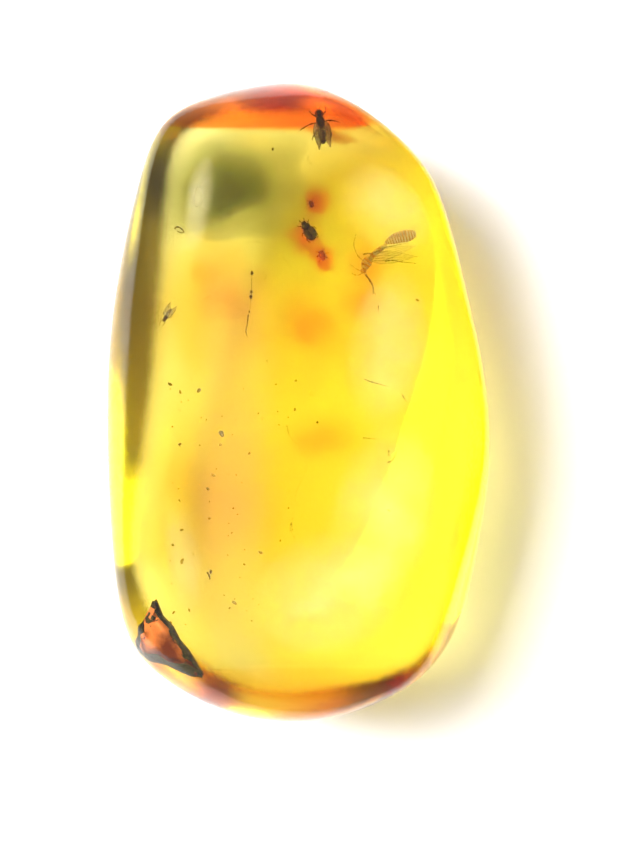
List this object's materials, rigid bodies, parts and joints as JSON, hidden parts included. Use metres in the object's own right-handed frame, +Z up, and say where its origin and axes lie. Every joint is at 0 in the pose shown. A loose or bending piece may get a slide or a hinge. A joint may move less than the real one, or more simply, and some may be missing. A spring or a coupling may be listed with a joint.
{
  "type": "insect in amber",
  "caption": "Polished, tapered lump of clear honey-yellow amber lying on its flat base, with small insects, hairs and bubbles sealed in it.",
  "frame": {"origin": "middle of the outline, on the flat base", "axes": "+Z up through the thickness, +Y along the length towards the narrow end, +X across the width, away from the long ground shoulder"},
  "size_m": [0.018, 0.03, 0.0085],
  "materials": {
    "amber": "clear honey-yellow resin with a tumbled polish",
    "insect": "dark brown insect cuticle",
    "stain": "soft orange and grey-green clouding inside the resin"
  },
  "bodies": {
    "root": {"amber": "amber"}
  },
  "joints": []
}
